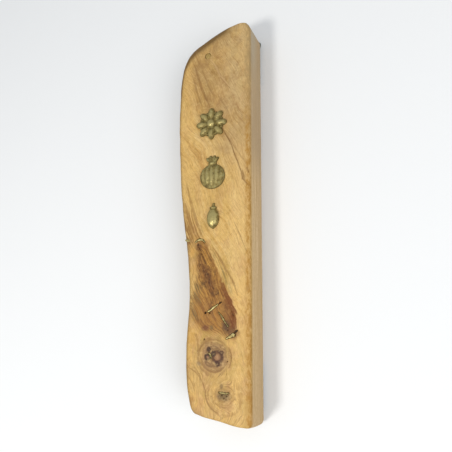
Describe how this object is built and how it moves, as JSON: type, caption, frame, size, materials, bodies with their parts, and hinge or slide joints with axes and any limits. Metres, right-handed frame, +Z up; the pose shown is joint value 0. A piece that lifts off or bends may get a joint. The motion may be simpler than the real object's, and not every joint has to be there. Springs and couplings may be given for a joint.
{
  "type": "mezuzah case",
  "caption": "Slab of olive wood with one natural edge, brass relief ornaments and brass-filled cracks, holding a rolled scroll behind a sliding back cover.",
  "frame": {"origin": "centre of the object's bounding box", "axes": "+Z up along the case as it hangs, -Y out of the front face, +Y towards the doorpost, -X towards the natural edge, +X towards the straight edge"},
  "size_m": [0.0324, 0.0186, 0.1626],
  "materials": {
    "olive_wood": "hand sanded, thin oil finish",
    "cover_wood": "planed, unfinished",
    "aged_brass": "cast, darkened in the hollows, rubbed bright on the crests",
    "bright_brass": "sanded flush with the wood",
    "parchment": "matt animal-skin parchment",
    "foam_tape": "double-sided foam tape, dark grey-green"
  },
  "bodies": {
    "case": {"case_body": "olive_wood", "scroll_parchment": "parchment", "rosette_ornament": "aged_brass", "pomegranate_ornament": "aged_brass", "olive_ornament": "aged_brass", "top_plug": "aged_brass", "edge_fill": "bright_brass", "arc_fill": "bright_brass", "crack_fill": "bright_brass", "vein_fill": "bright_brass", "wedge_fill": "bright_brass", "knot_fill": "bright_brass", "base_knot_fill": "bright_brass", "tape_top_left": "foam_tape", "tape_top_right": "foam_tape", "tape_bottom_left": "foam_tape", "tape_bottom_right": "foam_tape"},
    "cover": {"back_cover": "cover_wood"}
  },
  "joints": [
    {"name": "cover_slide", "type": "slide", "parent": "case", "child": "cover", "axis": [0, 0, 1], "range_m": [0, 0.12]}
  ]
}
